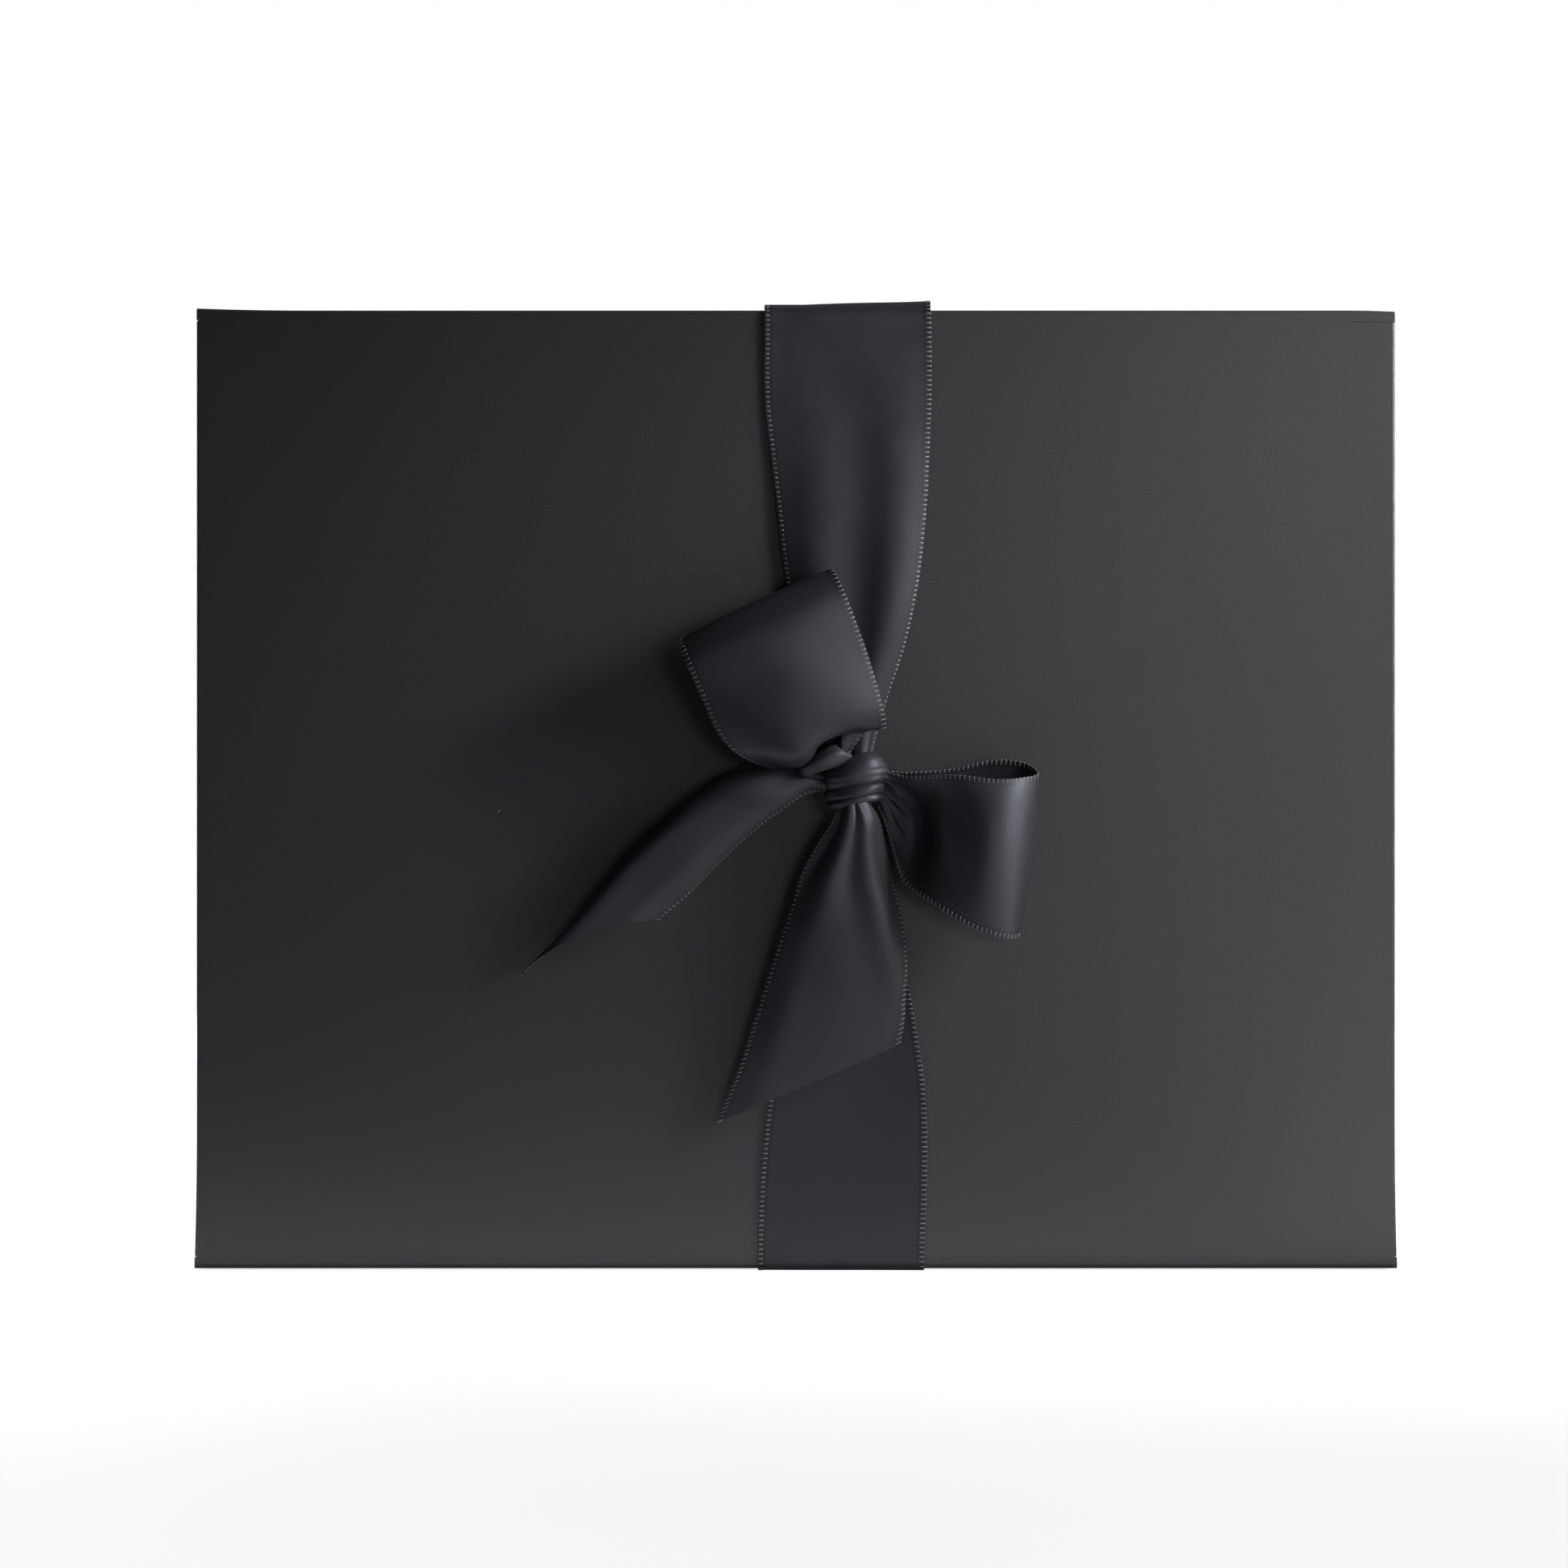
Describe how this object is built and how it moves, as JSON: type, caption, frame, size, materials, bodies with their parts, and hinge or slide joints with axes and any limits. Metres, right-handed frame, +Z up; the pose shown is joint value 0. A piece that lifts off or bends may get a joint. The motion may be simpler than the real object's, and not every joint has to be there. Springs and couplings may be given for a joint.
{
  "type": "gift box",
  "caption": "Rigid black book-style gift box standing on edge, with a hinged lid, a magnetic flap and a satin ribbon tied in a bow.",
  "frame": {"origin": "on the surface that the box stands on, under the middle of its width and depth", "axes": "+X to the right and +Z up as seen from the lid's side, +Y from the lid to the base"},
  "size_m": [0.275, 0.1202, 0.2225],
  "materials": {
    "cover_paper": "matte",
    "lining_paper": "matte",
    "grey_board": "matte",
    "corner_tape": "matte",
    "satin_ribbon": "satin",
    "magnet": "satin",
    "catch_steel": "satin"
  },
  "bodies": {
    "tray": {"base_board": "grey_board", "base_wrap": "cover_paper", "spine_board": "grey_board", "spine_wrap": "cover_paper", "base_fold": "cover_paper", "lid_hinge_fold": "cover_paper", "tray_floor": "grey_board", "tray_top_wall": "grey_board", "tray_bottom_wall": "grey_board", "tray_left_wall": "grey_board", "tray_right_wall": "grey_board", "tray_corner_tapes": "corner_tape", "tray_wrap": "cover_paper", "tray_lining": "lining_paper", "catch_plates": "catch_steel", "ribbon_top": "satin_ribbon", "ribbon_top_bend": "satin_ribbon", "ribbon_back": "satin_ribbon", "ribbon_tuck": "satin_ribbon"},
    "lid": {"lid_board": "grey_board", "lid_wrap": "cover_paper", "lid_liner": "lining_paper", "flap_hinge_fold": "cover_paper", "ribbon_upper_span": "satin_ribbon", "ribbon_lower_span": "satin_ribbon", "ribbon_bottom_turn": "satin_ribbon", "bow_knot": "satin_ribbon", "bow_upper_loop": "satin_ribbon", "bow_right_loop": "satin_ribbon", "bow_left_tail": "satin_ribbon", "bow_center_tail": "satin_ribbon"},
    "flap": {"flap_board": "grey_board", "flap_wrap": "cover_paper", "flap_liner": "lining_paper", "flap_magnets": "magnet", "ribbon_under": "satin_ribbon"}
  },
  "joints": [
    {"name": "lid_hinge", "type": "hinge", "parent": "tray", "child": "lid", "pos_m": [0, -0.0488, 0.21926], "axis": [-1, 0, 0], "range_deg": [0, 180], "deforming": ["ribbon_top_bend"]},
    {"name": "flap_hinge", "type": "hinge", "parent": "lid", "child": "flap", "pos_m": [0, -0.0488, 0.00166], "axis": [-1, 0, 0], "range_deg": [0, 90], "deforming": ["ribbon_bottom_turn"]}
  ]
}
